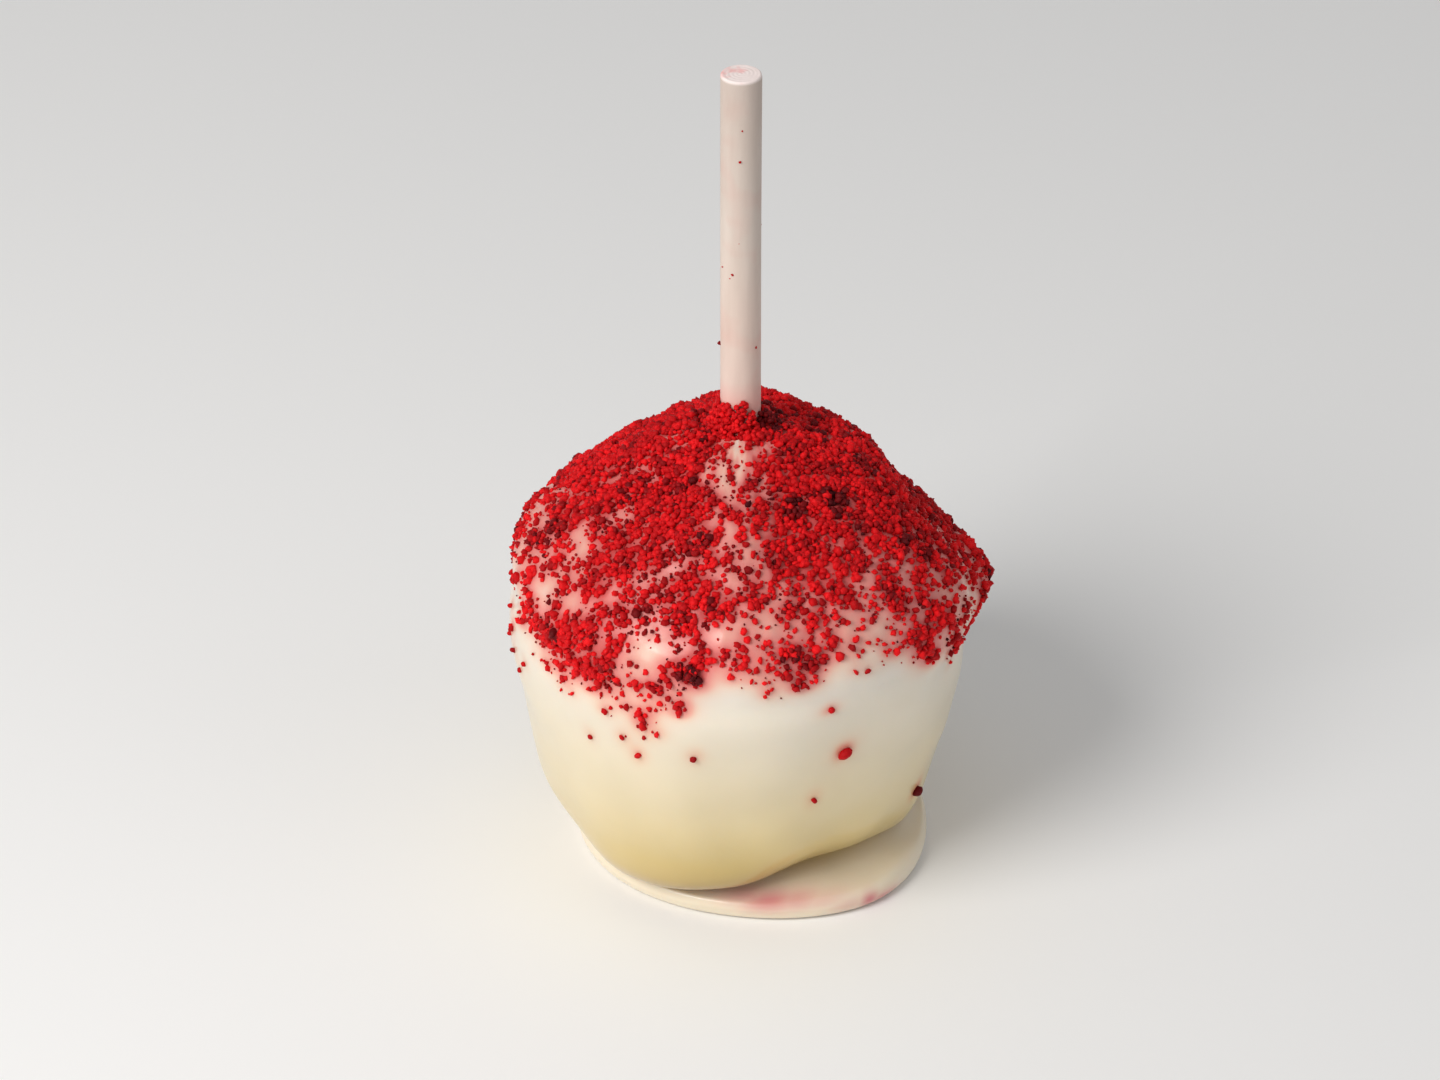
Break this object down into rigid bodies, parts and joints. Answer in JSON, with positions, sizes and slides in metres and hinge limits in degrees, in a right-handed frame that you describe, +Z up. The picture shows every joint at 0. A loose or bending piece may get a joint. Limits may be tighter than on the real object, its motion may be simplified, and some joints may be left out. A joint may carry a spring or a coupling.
{
  "type": "cake pop",
  "caption": "Large muffin-shaped cake pop in white coating on its poured foot, its dome covered in red cake crumbs, with a paper stick standing in the top.",
  "frame": {"origin": "middle of the overall box, on the flat underside of the coating's foot", "axes": "+Z up along the stick, -Y is the front that was seen, +X to its right"},
  "size_m": [0.0733, 0.0721, 0.1246],
  "materials": {
    "coating": "poured white chocolate coating, semi-gloss",
    "crumbs": "moist red velvet cake crumbs, matte",
    "stick_paper": "tightly rolled paper, matte"
  },
  "bodies": {
    "root": {"coated_cake": "coating", "stick": "stick_paper"}
  },
  "joints": []
}
